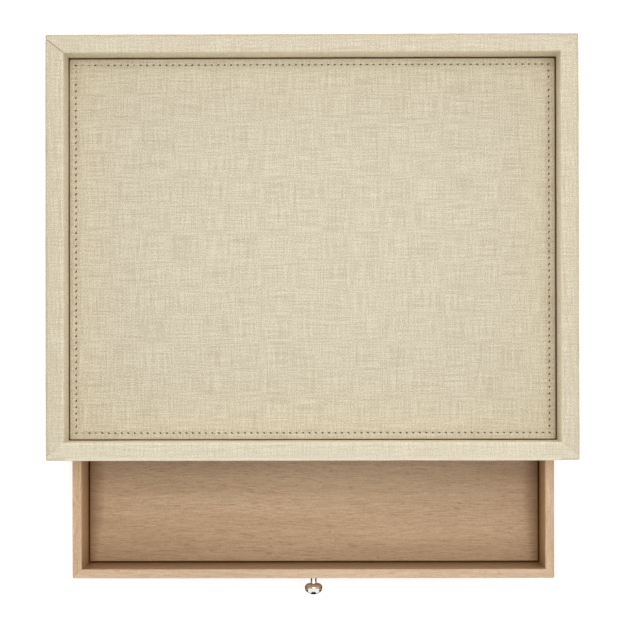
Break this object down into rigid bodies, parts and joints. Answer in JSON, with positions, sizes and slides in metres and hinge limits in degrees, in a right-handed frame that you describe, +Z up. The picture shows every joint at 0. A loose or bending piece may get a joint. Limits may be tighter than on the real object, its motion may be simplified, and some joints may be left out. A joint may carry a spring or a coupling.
{
  "type": "desktop drawer tray",
  "caption": "Desktop tray with a padded recess for papers and a shallow wooden drawer that slides out of its front.",
  "frame": {"origin": "middle of the box's footprint, on the face that rests on the desk; the drawer's overhang isn't counted", "axes": "+Z up, +Y to the closed back, -Y the way the drawer opens, +X to the right seen from the drawer's side"},
  "size_m": [0.3174, 0.3408, 0.0986],
  "materials": {
    "leather_cloth": "satin, embossed like linen cloth",
    "bay_lining": "matte suede cloth",
    "box_board": "raw fibreboard",
    "grey_board": "raw grey board",
    "felt": "matte felt",
    "beech": "clear satin lacquer",
    "polished_metal": "polished nickel",
    "bright_steel": "plain bright steel"
  },
  "bodies": {
    "carcass": {"left_side_board": "box_board", "right_side_board": "box_board", "back_board": "box_board", "front_rail_board": "box_board", "tray_floor_board": "box_board", "base_board": "box_board", "carcass_brads": "bright_steel", "left_side_cover": "leather_cloth", "right_side_cover": "leather_cloth", "back_cover": "leather_cloth", "front_cover": "leather_cloth", "bay_floor_lining": "bay_lining", "bay_ceiling_lining": "bay_lining", "bay_left_lining": "bay_lining", "bay_right_lining": "bay_lining", "bay_back_lining": "bay_lining", "base_felt": "felt", "pad_board": "grey_board", "pad_cover": "leather_cloth"},
    "drawer": {"drawer_front": "beech", "drawer_back": "beech", "drawer_left_side": "beech", "drawer_right_side": "beech", "drawer_bottom": "beech", "knob": "polished_metal", "knob_stud": "bright_steel"}
  },
  "joints": [
    {"name": "drawer_slide", "type": "slide", "parent": "carcass", "child": "drawer", "axis": [0, -1, 0], "range_m": [-0.0742, 0.12]}
  ]
}
